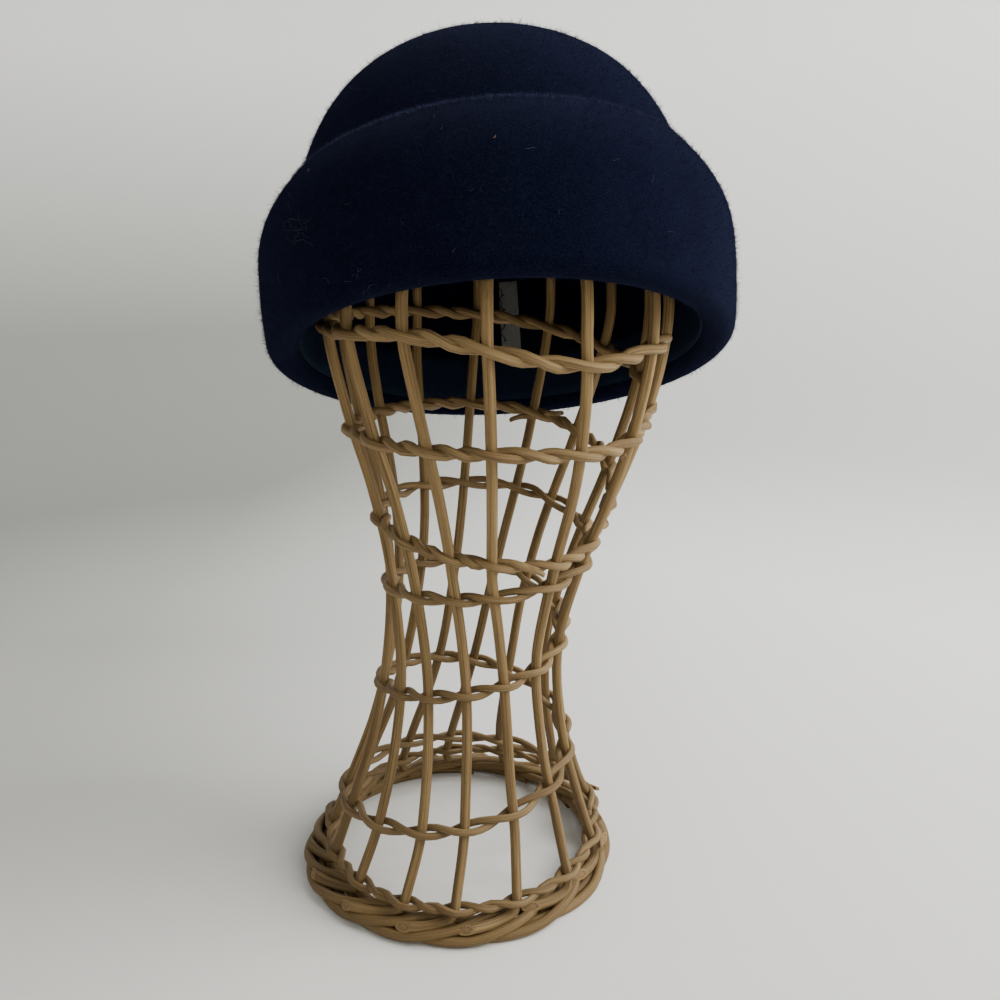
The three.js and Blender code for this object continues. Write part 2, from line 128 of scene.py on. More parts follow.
# Weave: heights of each turn at places round the stand, half twists between stakes,
# radius of its canes, and how many of those a strand rises out of the middle
TURN_ANGLES = (120, 180, 270, 360, 420)
TURNS = (
    {"heights": (17.2, 17.6, 15.2, 14.2, 17.5), "half_twists": 2, "cane": 1.6, "rise": 0.72},
    {"heights": (25, 28.8, 35.5, 44.5, 56), "half_twists": 1, "cane": 1.7, "rise": 0.85},
    {"heights": (71, 83, 93, 103, 112), "half_twists": 1, "cane": 1.65, "rise": 0.85},
    {"heights": (126, 137, 143, 149, 154), "half_twists": 1, "cane": 1.65, "rise": 0.85},
    {
        "heights": (167, 177, 178, 166, 165),
        "half_twists": 2, "far_half_twists": 1, "cane": 1.75, "rise": 1.05,
    },
    {"heights": (199, 216, 218, 217, 216), "half_twists": 2, "cane": 1.95, "rise": 1.05},
    {
        "angles": (120, 180, 250, 292, 336, 385, 415), "heights": (243, 261, 266, 263, 264, 252.5, 256),
        "half_twists": 2, "cane": 2.05, "rise": 1.05,
    },
)
FAR_SIDE = (110, 260)
STEEP_CLIMB = 9
CLIMB_HALF_TWISTS = 4
LAST_TURN_END = Sizes(reach=20, rise=3)
CROSSING_TRIES = 20

# Place of the stand's tables in the frame
border_low, border_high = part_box("foot_border")
border_middle = (border_low + border_high) / 2
SHIFT = Vector((border_middle.x / MM - BORDER.middle_x, border_middle.y / MM - BORDER.middle_y, 0))


def in_frame(point):
    return (Vector(point) + SHIFT) * MM


def smooth(rows, along, column):
    """Value of a column between the rows of a table, which are in order of their first column."""
    last = len(rows) - 1
    upper = max(next((i for i, row in enumerate(rows) if row[0] > along), last), 1)
    lower = upper - 1

    def slope(index):
        before = rows[max(index - 1, 0)]
        after = rows[min(index + 1, last)]
        return (after[column] - before[column]) / (after[0] - before[0])

    span = rows[upper][0] - rows[lower][0]
    share = (along - rows[lower][0]) / span
    square = share * share
    cube = square * share
    return (
        rows[lower][column] * (2 * cube - 3 * square + 1)
        + rows[upper][column] * (3 * square - 2 * cube)
        + slope(lower) * span * (cube - 2 * square + share)
        + slope(upper) * span * (cube - square)
    )


def swelling(spot, degrees):
    """Size of a soft swelling that is centred at some degrees round the part."""
    away = (degrees - spot.degrees + FULL_TURN / 2) % FULL_TURN - FULL_TURN / 2
    return spot.size * math.exp(-((away / spot.width) ** 2))


def stand_point(height, degrees):
    """Place on the stakes' oval and the direction out of it."""
    width, depth, x, y = (smooth(STAND_LEVELS, height, column) for column in range(1, 5))
    turn = radians(degrees)
    outward = Vector((sin(turn), -cos(turn), 0))
    return Vector((x + width * outward.x, y + depth * outward.y, height)), outward


def stake_angle(stake, height):
    return smooth(tuple(zip(ANGLE_HEIGHTS, stake)), min(height, ANGLE_HEIGHTS[-1]), 1)


SPIRAL = [
    (FULL_TURN * index + angle, height)
    for index, turn in enumerate(TURNS)
    for angle, height in zip(turn.get("angles", TURN_ANGLES), turn["heights"])
]
SPIRAL.append((SPIRAL[-1][0] + LAST_TURN_END.reach, SPIRAL[-1][1] + LAST_TURN_END.rise))


def spiral_height(angle):
    return smooth(SPIRAL, max(angle, SPIRAL[0][0]), 1)


def crossing(angle_of_height, lap_start):
    angle = lap_start
    for _ in range(CROSSING_TRIES):
        angle = lap_start + angle_of_height(spiral_height(angle))
    return angle


def turn_end(index):
    before, after = STAKES[LAST_STAKE_BEFORE_TURN], STAKES[LAST_STAKE_BEFORE_TURN + 1]
    return crossing(lambda h: (stake_angle(before, h) + stake_angle(after, h)) / 2, FULL_TURN * index)


TURN_ENDS = [turn_end(index) for index in range(len(TURNS) + 1)]


def gap_twists(turn, angle):
    """Half twists from a stake to the next one."""
    gap = FULL_TURN / len(STAKES)
    if turn["half_twists"] > 1 and spiral_height(angle + gap) - spiral_height(angle) > STEEP_CLIMB:
        return CLIMB_HALF_TWISTS
    is_far = FAR_SIDE[0] < angle % FULL_TURN < FAR_SIDE[1]
    return turn.get("far_half_twists", turn["half_twists"]) if is_far else turn["half_twists"]


def all_crossings():
    """Every place where the weave passes a stake: angle, and half twists to the next one."""
    found = []
    for index, turn in enumerate(TURNS):
        for stake in STAKES:
            for lap in (index, index + 1):
                angle = crossing(lambda h, stake=stake: stake_angle(stake, h), FULL_TURN * lap)
                if TURN_ENDS[index] < angle < TURN_ENDS[index + 1]:
                    found.append((angle, gap_twists(turn, angle)))
    return sorted(found)


CROSSINGS = all_crossings()


# Working with Blender's tools
def apply_modifier(piece, kind, **settings):
    modifier = piece.modifiers.new(kind.lower(), kind)
    for key, value in settings.items():
        setattr(modifier, key, value)
    bpy.context.view_layer.objects.active = piece
    bpy.ops.object.modifier_apply(modifier=modifier.name)


def vertex_array(piece):
    places = np.empty(len(piece.data.vertices) * 3)
    piece.data.vertices.foreach_get("co", places)
    return places.reshape(-1, 3)


def set_vertices(piece, places):
    piece.data.vertices.foreach_set("co", np.asarray(places, dtype=np.float32).ravel())
    piece.data.update()


def joined(pieces):
    bpy.ops.object.select_all(action="DESELECT")
    for piece in pieces:
        piece.select_set(True)
    bpy.context.view_layer.objects.active = pieces[0]
    bpy.ops.object.join()
    return pieces[0]


def finish_piece(piece, name, node=None):
    piece.name = name
    piece.data.name = name
    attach(piece, "root")
    if node:
        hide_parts(node)


# Node helpers
def new_group(name, inputs, outputs):
    """Node group, with the sockets that its nodes read from and write to."""
    tree = bpy.data.node_groups.new(name, "ShaderNodeTree")
    for way, sockets in (("INPUT", inputs), ("OUTPUT", outputs)):
        for socket, kind in sockets.items():
            tree.interface.new_socket(socket, in_out=way, socket_type=f"NodeSocket{kind}")
    given, result = (tree.nodes.new(f"NodeGroup{way}") for way in ("Input", "Output"))
    return tree, given.outputs, result.inputs


def feed(socket, value):
    """Links a socket to another one, or sets its own value."""
    if isinstance(value, bpy.types.NodeSocket):
        socket.id_data.links.new(value, socket)
    else:
        socket.default_value = value


def add_node(tree, kind, settings=None, **inputs):
    made = tree.nodes.new(f"ShaderNode{kind}")
    for key, value in (settings or {}).items():
        setattr(made, key, value)
    for key, value in inputs.items():
        feed(made.inputs[key.replace("_", " ")], value)
    return made


def math_node(operation, first, second=0.5, clamp=False):
    tree = next(value.id_data for value in (first, second) if isinstance(value, bpy.types.NodeSocket))
    made = add_node(tree, "Math", {"operation": operation, "use_clamp": clamp})
    for socket, value in zip(made.inputs, (first, second)):
        feed(socket, value)
    return made.outputs[0]


plus, minus, times, absolute = (
    functools.partial(math_node, operation) for operation in ("ADD", "SUBTRACT", "MULTIPLY", "ABSOLUTE")
)


def average(first, second):
    return times(plus(first, second), 0.5)


def mix_color(share, first, second):
    made = add_node(share.id_data, "Mix", {"data_type": "RGBA"})
    for index, value in ((0, share), (6, first), (7, second)):
        feed(made.inputs[index], value)
    return made.outputs[2]


def ramp(value, low, high):
    """Straight rise from 0 at low to 1 at high."""
    made = add_node(value.id_data, "MapRange", {"clamp": True}, Value=value, From_Min=low, From_Max=high)
    return made.outputs["Result"]


def mottle(place, scale, detail=3.0, roughness=0.55, distortion=0.0):
    """Noise that is stretched by its scale."""
    mapping = add_node(place.id_data, "Mapping", Vector=place, Scale=scale)
    made = add_node(
        place.id_data, "TexNoise", Vector=mapping.outputs[0], Scale=1.0, Detail=detail,
        Roughness=roughness, Distortion=distortion,
    )
    return made.outputs[0]


def object_place(tree):
    return add_node(tree, "TexCoord").outputs["Object"]


def distance(place):
    """Distance of a place from the origin."""
    made = add_node(place.id_data, "VectorMath", {"operation": "LENGTH"}, Vector=place)
    return made.outputs["Value"]


def new_material(name):
    material = bpy.data.materials.new(name)
    material.use_nodes = True
    return material, material.node_tree


def dress(material, color, height=None, bump=0.0, depth=0.0, **looks):
    """Sets or links a material's colour and other looks, with fine relief where it has a height."""
    tree = material.node_tree
    looks["Base Color"] = color
    if height is not None:
        relief = add_node(tree, "Bump", Strength=bump, Distance=depth, Height=height)
        looks["Normal"] = relief.outputs["Normal"]
    for key, value in looks.items():
        feed(tree.nodes["Principled BSDF"].inputs[key.replace("_", " ")], value)
    return material


# Grain of a split or round cane, read along its own length
def cane_grain_group():
    tree, given, result = new_group(
        "cane_grain",
        {"Place": "Vector", "Light": "Color", "Dark": "Color", "Streak": "Float"},
        {"Color": "Color", "Height": "Float", "Roughness": "Float"},
    )
    place = given["Place"]
    broad = mottle(place, (150, 150, 9))
    streaks = mottle(place, (1000, 1000, 12), detail=5, roughness=0.65)
    lines = mottle(place, (2600, 2600, 15), detail=2, roughness=0.5)
    hairs = mottle(place, (5200, 5200, 45), detail=2, roughness=0.5)
    flecks = mottle(place, (1500, 1500, 230), detail=2)
    tone = ramp(average(broad, streaks), 0.38, 0.62)
    base = mix_color(tone, given["Dark"], given["Light"])
    line_mask = times(ramp(lines, 0.52, 0.64), given["Streak"])
    lined = mix_color(line_mask, base, (0.075, 0.040, 0.014, 1))
    hair_mask = times(ramp(hairs, 0.54, 0.66), 0.35)
    haired = mix_color(hair_mask, lined, (0.09, 0.05, 0.02, 1))
    fleck_mask = times(ramp(flecks, 0.68, 0.75), 0.55)
    flecked = mix_color(fleck_mask, haired, (0.05, 0.027, 0.011, 1))
    grooves = plus(line_mask, times(hair_mask, 0.5))
    tree.links.new(flecked, result["Color"])
    tree.links.new(minus(streaks, grooves), result["Height"])
    tree.links.new(plus(times(streaks, 0.3), 0.42), result["Roughness"])
    return tree


CANE_GRAIN = cane_grain_group()
GRAIN_PLACE = "grain_place"
# Canes are browner and darker towards the foot: partly their own tone, partly painted shade
FOOT_TONE_AND_SHADE = Sizes(top=0.23, share=0.42, color=(0.05, 0.031, 0.013, 1))


def grain_place(tree):
    return add_node(tree, "Attribute", {"attribute_name": GRAIN_PLACE}).outputs["Vector"]


def cane_material(name, light, dark, streak):
    material, tree = new_material(name)
    grain = add_node(
        tree, "Group", {"node_tree": CANE_GRAIN},
        Place=grain_place(tree), Light=light, Dark=dark, Streak=streak,
    )
    height = add_node(tree, "SeparateXYZ", Vector=object_place(tree)).outputs["Z"]
    # Darker towards the foot: the canes' own browner tone with painted shade
    foot_tone_and_shade = times(ramp(height, FOOT_TONE_AND_SHADE.top, 0.0), FOOT_TONE_AND_SHADE.share)
    color = mix_color(foot_tone_and_shade, grain.outputs["Color"], FOOT_TONE_AND_SHADE.color)
    return dress(
        material, color, grain.outputs["Height"], bump=0.4, depth=0.0006,
        Roughness=grain.outputs["Roughness"], Specular_IOR_Level=0.22,
    )


def cut_end_material():
    """Open pores of a cut cane."""
    material, tree = new_material("cane_cut_end")
    flat = add_node(tree, "Mapping", Vector=grain_place(tree), Scale=(1, 1, 0)).outputs[0]
    cells = add_node(tree, "TexVoronoi", Vector=flat, Scale=1800.0)
    pores = ramp(cells.outputs["Distance"], 0.18, 0.42)
    cloud = mottle(flat, (700, 700, 700))
    pale = mix_color(cloud, (0.15, 0.097, 0.045, 1), (0.26, 0.171, 0.081, 1))
    pith = mix_color(pores, (0.040, 0.023, 0.010, 1), pale)
    rim = ramp(distance(flat), 0.0017, 0.0021)
    color = mix_color(rim, pith, (0.27, 0.178, 0.083, 1))
    return dress(material, color, pores, bump=0.5, depth=0.0004, Roughness=0.85, Specular_IOR_Level=0.2)


STAKE_CANE = cane_material("stake_cane", (0.34, 0.225, 0.092, 1), (0.165, 0.100, 0.037, 1), 0.75)
WEAVER_CANE = cane_material("weaver_cane", (0.32, 0.215, 0.095, 1), (0.17, 0.105, 0.042, 1), 0.65)
BORDER_CANE = cane_material("border_cane", (0.30, 0.195, 0.078, 1), (0.16, 0.096, 0.034, 1), 0.6)
CUT_END = cut_end_material()

# Felt: matted wool fibres, mottled and a little dusty
# Single hairs: noise scale, width and strength
FELT_HAIRS = (((260, 300, 280), 0.010, 0.55), ((520, 470, 500), 0.016, 0.4))


def felt_fibre_group():
    tree, given, result = new_group(
        "felt_fibres",
        {"Place": "Vector", "Deep": "Color", "Soft": "Color", "Fibre": "Color"},
        {"Color": "Color", "Height": "Float"},
    )
    place = given["Place"]
    cloud = mottle(place, (45, 45, 45), detail=4)
    nap = mottle(place, (1500, 1500, 1500), detail=6, roughness=0.7)
    base = mix_color(ramp(cloud, 0.35, 0.7), given["Deep"], given["Soft"])
    color = mix_color(ramp(nap, 0.42, 0.75), base, given["Fibre"])
    height = times(nap, 0.7)
    for scale, width, strength in FELT_HAIRS:
        waves = mottle(place, scale, detail=1.5, roughness=0.4, distortion=1.2)
        away = absolute(minus(waves, 0.5))
        whole = minus(1.0, ramp(away, width * 0.3, width))
        breaks = mottle(place, tuple(0.5 * value for value in scale), detail=2)
        hair = times(whole, ramp(breaks, 0.48, 0.62))
        color = mix_color(times(hair, strength), color, given["Fibre"])
        height = plus(height, times(hair, 0.35))
    tree.links.new(color, result["Color"])
    tree.links.new(height, result["Height"])
    return tree


FELT_FIBRES = felt_fibre_group()


def felt_material(name, deep, soft, fibre, sheen, bump):
    material, tree = new_material(name)
    fibres = add_node(
        tree, "Group", {"node_tree": FELT_FIBRES},
        Place=object_place(tree), Deep=deep, Soft=soft, Fibre=fibre,
    )
    return dress(
        material, fibres.outputs["Color"], fibres.outputs["Height"], bump, depth=0.0008, Roughness=1.0,
        Specular_IOR_Level=0.0, Sheen_Weight=sheen, Sheen_Roughness=0.5, Sheen_Tint=(0.42, 0.47, 0.84, 1),
    )


NAVY_FELT = felt_material(
    "navy_felt", sheen=0.045, bump=0.6,
    deep=(0.0011, 0.0016, 0.0066, 1), soft=(0.0020, 0.0028, 0.0101, 1), fibre=(0.008, 0.0098, 0.0255, 1),
)
NAVY_FUZZ = felt_material(
    "navy_fuzz", sheen=0.0, bump=0.1,
    deep=(0.004, 0.0047, 0.0135, 1), soft=(0.008, 0.0098, 0.025, 1), fibre=(0.028, 0.031, 0.060, 1),
)
# Paler fuzz for the cuff's free edge: its light colour is a painted highlight where the edge catches the
# light
HIGHLIGHT_NAVY_FUZZ = felt_material(
    "highlight_navy_fuzz", sheen=0.0, bump=0.1,
    deep=(0.022, 0.026, 0.062, 1), soft=(0.038, 0.045, 0.098, 1), fibre=(0.074, 0.085, 0.15, 1),
)


def ribbon_material():
    """Ribbed ribbon: fine threads across each rib."""
    material, tree = new_material("navy_ribbon")
    place = object_place(tree)
    threads = mottle(place, (900, 900, 5200))
    cloud = mottle(place, (60, 60, 60))
    tone = ramp(average(threads, cloud), 0.35, 0.65)
    color = mix_color(tone, (0.0045, 0.009, 0.022, 1), (0.010, 0.018, 0.040, 1))
    return dress(material, color, threads, bump=0.4, depth=0.0003, Roughness=0.75, Specular_IOR_Level=0.06)


def label_material():
    """Plain woven tape: threads both ways, in greys darkened as painted shade."""
    material, tree = new_material("label_cloth")
    place = add_node(tree, "UVMap").outputs[0]
    warp, weft = (
        add_node(tree, "TexWave", {"bands_direction": way}, Vector=place, Scale=scale, Distortion=0.6)
        for way, scale in (("X", 22.0), ("Y", 80.0))
    )
    weave = average(warp.outputs["Fac"], weft.outputs["Fac"])
    cloud = mottle(place, (5, 14, 5), detail=4)
    shade = ramp(average(weave, cloud), 0.25, 0.75)
    # Greys far darker than the pale cloth: painted shade of the hat's inside
    color = mix_color(shade, (0.15, 0.15, 0.145, 1), (0.27, 0.27, 0.26, 1))
    return dress(material, color, weave, bump=0.35, depth=0.0003, Roughness=0.75, Specular_IOR_Level=0.25)


def fibre_material(name, dark, light):
    """Single threads and lint, uneven along their length."""
    material, tree = new_material(name)
    tone = mottle(object_place(tree), (700, 700, 700))
    color = mix_color(ramp(tone, 0.35, 0.65), dark, light)
    return dress(material, color, Roughness=0.8, Specular_IOR_Level=0.2)


NAVY_RIBBON = ribbon_material()
DARKENED_LABEL_CLOTH = label_material()
BLACK_THREAD = fibre_material("black_thread", (0.003, 0.003, 0.004, 1), (0.012, 0.012, 0.014, 1))
PALE_LINT = fibre_material("pale_lint", (0.04, 0.045, 0.055, 1), (0.12, 0.125, 0.135, 1))
TAN_LINT = fibre_material("tan_lint", (0.12, 0.08, 0.04, 1), (0.26, 0.18, 0.10, 1))


def unit(vectors):
    return vectors / np.linalg.norm(vectors, axis=1)[:, None]


# Canes: a straight length is cut, then bent along its path
NEARLY_UPRIGHT = 0.2


def path_frames(points):
    """Direction, side and up of a path at each of its points, turning as little as it can."""
    places = np.array(points)
    tangents = unit(np.gradient(places, axis=0))
    side = np.cross(tangents[0], (0.0, 0.0, 1.0))
    if np.linalg.norm(side) < NEARLY_UPRIGHT:
        side = np.cross(tangents[0], (0.0, 1.0, 0.0))
    sides = []
    for tangent in tangents:
        side = side - tangent * np.dot(side, tangent)
        side = side / np.linalg.norm(side)
        sides.append(side)
    sides = np.array(sides)
    return places, tangents, sides, np.cross(tangents, sides)


CANE_NUMBERS = itertools.count(1)
GRAIN_SHIFT = 0.37
CUT_STRETCH = 3
SIDE_FACE_CORNERS = 4


def straight_cane(sides, stations):
    """Round length from -1 to 1, with a ring of points at each station."""
    bpy.ops.mesh.primitive_cylinder_add(vertices=sides, radius=1.0, depth=2.0, end_fill_type="NGON")
    piece = bpy.context.object
    bpy.ops.object.mode_set(mode="EDIT")
    bpy.ops.mesh.select_all(action="DESELECT")
    shell = bmesh.from_edit_mesh(piece.data)
    for edge in shell.edges:
        edge.select_set(abs(edge.verts[0].co.z - edge.verts[1].co.z) > 1)
    bmesh.update_edit_mesh(piece.data)
    bpy.ops.mesh.subdivide(number_cuts=stations - 2)
    bpy.ops.object.mode_set(mode="OBJECT")
    return piece


def finish_cane(piece, material, grain):
    """Stores where the grain is read, and gives the sides and the cut ends their materials."""
    layer = piece.data.attributes.new(GRAIN_PLACE, "FLOAT_VECTOR", "POINT")
    layer.data.foreach_set("vector", grain.astype(np.float32).ravel())
    piece.data.materials.append(material)
    piece.data.materials.append(CUT_END)
    for face in piece.data.polygons:
        is_end = len(face.vertices) > SIDE_FACE_CORNERS
        face.material_index = 1 if is_end else 0
        face.use_smooth = not is_end


def cane(points, radius, material, sides=10, taper=None, cut=None):
    """Round cane through points in metres. Taper gives a share of the radius along it.
    Cut is the way that the oblique cut of its last end faces, as long as the cut is steep."""
    places, tangents, across, upward = path_frames(points)
    steps = np.linalg.norm(np.diff(places, axis=0), axis=1)
    along = np.concatenate(([0.0], np.cumsum(steps)))
    last = len(places) - 1
    piece = straight_cane(sides, len(places))
    straight = vertex_array(piece)
    station = np.clip(np.rint((straight[:, 2] + 1) / 2 * last).astype(int), 0, last)
    share = np.ones(len(places)) if taper is None else np.array([taper(s) for s in along / along[-1]])
    reach = radius * share[station]
    aside = straight[:, 0] * reach
    above = straight[:, 1] * reach
    bent = places[station] + across[station] * aside[:, None] + upward[station] * above[:, None]
    if cut is not None:
        nearness = np.clip(1 - (along[-1] - along[station]) / (CUT_STRETCH * radius), 0, 1)
        lean = (bent - places[station]) @ np.array(cut) * nearness
        bent -= tangents[station] * lean[:, None]
    set_vertices(piece, bent)
    shift = next(CANE_NUMBERS) * GRAIN_SHIFT
    finish_cane(piece, material, np.column_stack((aside, above, along[station] + shift)))
    return piece


def weave_frame(angle):
    place, outward = stand_point(spiral_height(angle), angle)
    ahead = stand_point(spiral_height(angle + 1), angle + 1)[0]
    behind = stand_point(spiral_height(angle - 1), angle - 1)[0]
    along = (ahead - behind).normalized()
    return place, outward, outward.cross(along).normalized()


# Twist of the pair: one strand passes in front of a stake and the other behind it
STAKE_PRESS = 0.8
LEVEL_AT_STAKE = 0.6
STEPS_PER_HALF_TWIST = 14
STRAND_SOFTENING = 3
CROSSING_ANGLES = [angle for angle, _ in CROSSINGS]
FRONT_SIGNS = [1]
for _, twists in CROSSINGS[:-1]:
    FRONT_SIGNS.append(FRONT_SIGNS[-1] * (-1) ** twists)
TURN_MIDDLES = [(start + end) / 2 for start, end in zip(TURN_ENDS, TURN_ENDS[1:])]


def along_spiral(angle, key):
    """A value of the weave table, changing slowly from turn to turn."""
    return float(np.interp(angle, TURN_MIDDLES, [turn[key] for turn in TURNS]))


def weaver_radius(angle):
    return along_spiral(angle, "cane")


def strand_offset(angle):
    """How far the first strand of the pair lies out and up from the middle of the weave."""
    index = max(0, min(len(CROSSINGS) - 2, bisect.bisect_right(CROSSING_ANGLES, angle) - 1))
    start, twists = CROSSINGS[index]
    share = (angle - start) / (CROSSING_ANGLES[index + 1] - start)
    turn = pi * twists * share
    radius = weaver_radius(angle)
    past_stake = STAKE_RADIUS + radius - STAKE_PRESS
    rise = -along_spiral(angle, "rise") * radius * sin(turn)
    if twists == 1:
        out = past_stake * cos(turn)
    else:
        near_stake = (1 + cos(2 * pi * share)) / 2
        out = radius * cos(turn) + (past_stake - radius) * near_stake
        rise *= 1 - LEVEL_AT_STAKE * near_stake
    return FRONT_SIGNS[index] * out, FRONT_SIGNS[index] * rise


def strand_point(angle, side):
    place, outward, up = weave_frame(angle)
    out, rise = strand_offset(angle)
    return place + outward * (side * out) + up * (side * rise)


def softened(points):
    """Eases the kinks of a path, with its ends kept."""
    places = np.array(points)
    for _ in range(STRAND_SOFTENING):
        places[1:-1] = (places[:-2] + 2 * places[1:-1] + places[2:]) / 4
    return places


def strand(start, end, side, steps):
    angles = [start + (end - start) * step / steps for step in range(steps + 1)]
    points = softened([in_frame(strand_point(angle, side)) for angle in angles])
    widest = max(weaver_radius(angle) for angle in (start, end, (start + end) / 2))
    return cane(
        points, widest * MM, WEAVER_CANE,
        taper=lambda share: weaver_radius(start + (end - start) * share) / widest,
    )


def weave_turn(index):
    start, end = TURN_ENDS[index], TURN_ENDS[index + 1]
    steps = STEPS_PER_HALF_TWIST * sum(twists for angle, twists in CROSSINGS if start < angle < end)
    pair = [strand(start, end, side, steps) for side in (1, -1)]
    finish_piece(joined(pair), f"twined_turn_{index + 1}", f"weave_turn_{index + 1}")


# Loose ends of weavers: place along the spiral, then out and up of the weave from start to end
WEAVER_ENDS = (
    {"start": 1813, "reach": 15, "out": (0.5, 3.4), "up": (1.2, -2.9)},
    {"start": 1962, "reach": 11, "out": (-2.6, -3.8), "up": (-2.0, -6.0)},
    {"start": 1957, "reach": -8, "out": (-2.2, -1.6), "up": (2.2, 5.0)},
    {"start": 2232, "reach": -14, "out": (-3.0, -2.0), "up": (3.0, -7.0)},
    {"start": 437, "reach": -8, "out": (3.0, 5.8), "up": (-1.2, -3.6)},
    {"start": 116, "reach": -10, "out": (0.6, 6.2), "up": (1.2, 2.6)},
)
WEAVER_END = Sizes(steps=12, radius_share=0.9, taper=0.3, cut=(0.2, -0.7, 0.4))


def weaver_end(start, reach, out, up):
    points = []
    for step in range(WEAVER_END.steps + 1):
        share = step / WEAVER_END.steps
        place, outward, upward = weave_frame(start + reach * share)
        away = out[0] + (out[1] - out[0]) * share
        lift = up[0] + (up[1] - up[0]) * share * share
        points.append(in_frame(place + outward * away + upward * lift))
    return cane(
        points, WEAVER_END.radius_share * weaver_radius(start) * MM, WEAVER_CANE, cut=WEAVER_END.cut,
        taper=lambda share: 1 - WEAVER_END.taper * share,
    )


def weaver_ends():
    finish_piece(joined([weaver_end(**row) for row in WEAVER_ENDS]), "weaver_ends")


# Stakes: upright, then bent along the border and cut
STAKE_FOOT = 13
STAKE_STEP = 6
STAKE_FOOT_SHARE = 0.92
TAIL_CUT = Sizes(out=1.5, up=0.7)
# Tails: degrees along the border, then out of its oval and height at the cut end
TAILS = (
    (18, 3.6, 7.6),
    (20, 2.8, 8.1),
    (19, -0.3, 10.6),
    (15, -0.3, 10.6),
    (18, 2.6, 8.2),
    (20, 3.9, 7.5),
    (17, 3.2, 7.8),
    (18, 3.9, 7.5),
    (19, 3.0, 8.0),
    (16, 3.9, 7.5),
    (20, 3.4, 7.7),
    (18, 3.9, 7.5),
    (21, 3.7, 7.5),
    (22, 3.9, 7.5),
)
# Share of the tail, share of its way out, height of one that lies low
TAIL_PATH = ((0.08, 0.0, 9.9), (0.24, 0.1, 7.9), (0.5, 0.4, 7.4), (0.75, 0.75, 7.5), (1.0, 1.0, 7.5))


def oval_point(oval, degrees, out, up):
    turn = radians(degrees)
    x = oval.middle_x + (oval.radius_x + out) * sin(turn)
    y = oval.middle_y - (oval.radius_y + out) * cos(turn)
    return Vector((x, y, up))


def border_bulge(degrees, out):
    """How far the bulge pushes out a cane of the border."""
    reach = (-BORDER_CANE_RADIUS, BORDER_CANE_RADIUS)
    return np.interp(out, reach, (BORDER_BULGE.inner_share, 1)) * swelling(BORDER_BULGE, degrees)


def border_place(point):
    """Degrees round the border's oval and distance out of it."""
    x = (point.x - BORDER.middle_x) / BORDER.radius_x
    y = (BORDER.middle_y - point.y) / BORDER.radius_y
    mean = (BORDER.radius_x + BORDER.radius_y) / 2
    return math.degrees(math.atan2(x, y)), (math.hypot(x, y) - 1) * mean


def stake_foot(index):
    return stand_point(STAKE_FOOT, stake_angle(STAKES[index], STAKE_FOOT))[0]


def stake_path(index):
    heights = range(STAND_LEVELS[-1][0], STAKE_FOOT, -STAKE_STEP)
    points = [stand_point(height, stake_angle(STAKES[index], height))[0] for height in heights]
    points.append(stake_foot(index))
    degrees, out = border_place(points[-1])
    sweep, end_out, end_up = TAILS[index]
    for along, way, up in TAIL_PATH:
        lift = (end_up - TAIL_PATH[-1][2]) * way
        here = degrees - sweep * along
        bulge = border_bulge(here, end_out) * way
        points.append(oval_point(BORDER, here, out + (end_out - out) * way + bulge, up + lift))
    return points


CORNER_CUT = 0.25
CANE_WAVE = Sizes(size=0.35, scale=0.03, shift=(3.7, 1.9, 0), seed=5)
noise.seed_set(CANE_WAVE.seed)


def rounded(points):
    """Cuts the corners of a path so that it bends softly."""
    cut = [points[0]]
    for before, after in zip(points, points[1:]):
        cut.append(before.lerp(after, CORNER_CUT))
        cut.append(before.lerp(after, 1 - CORNER_CUT))
    cut.append(points[-1])
    return cut


def uneven(points, number):
    """Slight natural waviness of a cane, its own for each number."""
    shift = Vector([number * value for value in CANE_WAVE.shift])
    waves = [noise.noise_vector(point * CANE_WAVE.scale + shift) for point in points]
    return [point + wave * CANE_WAVE.size for point, wave in zip(points, waves)]


def stakes():
    for index in range(len(STAKES)):
        points = uneven(rounded(stake_path(index)), index)
        turn = radians(border_place(points[-1])[0])
        piece = cane(
            [in_frame(point) for point in points], STAKE_RADIUS * MM, STAKE_CANE, sides=14,
            taper=lambda share: 1 - (1 - STAKE_FOOT_SHARE) * share,
            cut=(TAIL_CUT.out * sin(turn), -TAIL_CUT.out * cos(turn), TAIL_CUT.up),
        )
        finish_piece(piece, f"cane_stake_{index + 1:02d}", f"stake_{index + 1:02d}")


# Foot border: each cane rolls from the inside over the top, down the outside and back underneath
# Degrees past a stake, out of the border's oval, height
ROLL_PATH = (
    (-20, -4.2, 4.6),
    (-8, -5.6, 6.0),
    (4, -5.8, 7.4),
    (12, -4.5, 8.4),
    (20, -0.3, 7.2),
    (30, 2.6, 5.5),
    (41, 3.8, 3.2),
    (53, 2.8, 2.4),
    (67, 0.0, 2.35),
    (80, -2.2, 2.35),
    (96, -4.6, 2.4),
)
ROLL_STEP = 2


def rolled_cane(index):
    degrees = border_place(stake_foot(index))[0]
    points = []
    for past in range(ROLL_PATH[0][0], ROLL_PATH[-1][0] + 1, ROLL_STEP):
        out, up = (smooth(ROLL_PATH, past, column) for column in (1, 2))
        here = degrees - past
        points.append(in_frame(oval_point(BORDER, here, out + border_bulge(here, out), up)))
    return cane(points, BORDER_CANE_RADIUS * MM, BORDER_CANE, sides=12)


def foot_border():
    pieces = [rolled_cane(index) for index in range(len(STAKES))]
    finish_piece(joined(pieces), "rolled_border", "foot_border")


def top_ring():
    turns = [FULL_TURN * step / TOP_RING.steps for step in range(TOP_RING.steps + 1)]
    points = [in_frame(oval_point(TOP_RING, turn, 0, TOP_RING.height)) for turn in turns]
    finish_piece(cane(points, TOP_RING.cane_radius * MM, BORDER_CANE), "crown_ring", "top_ring")


